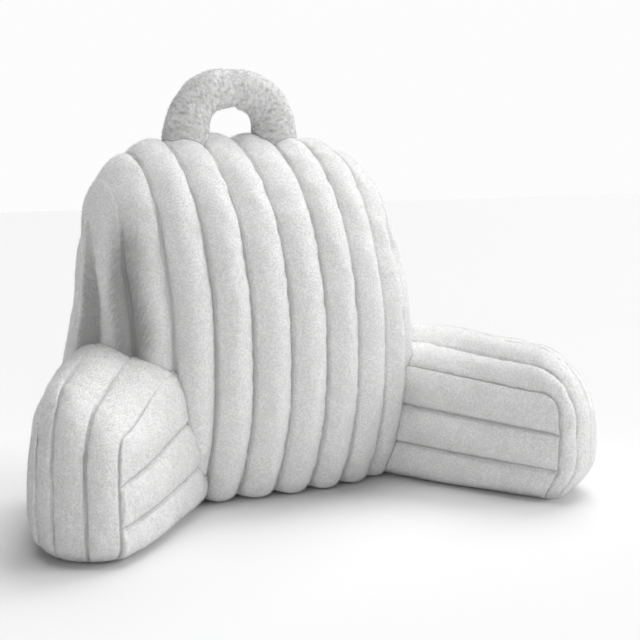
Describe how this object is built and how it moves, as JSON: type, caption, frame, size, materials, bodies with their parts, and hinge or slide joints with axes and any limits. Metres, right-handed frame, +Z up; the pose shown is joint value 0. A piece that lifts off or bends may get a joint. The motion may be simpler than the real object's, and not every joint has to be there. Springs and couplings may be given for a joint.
{
  "type": "backrest cushion",
  "caption": "Plush backrest cushion with channel-quilted front, two splayed arms and a padded carry handle, standing on its flat base.",
  "frame": {"origin": "middle of the flat underside of the backrest, on the surface it stands on", "axes": "-Y towards the sitter, +X to the right seen from the front, +Z up"},
  "size_m": [0.7358, 0.4332, 0.5408],
  "materials": {
    "plush": "short-pile plush, matte"
  },
  "bodies": {
    "root": {"backrest": "plush", "arm_left": "plush", "arm_right": "plush", "handle": "plush"}
  },
  "joints": []
}
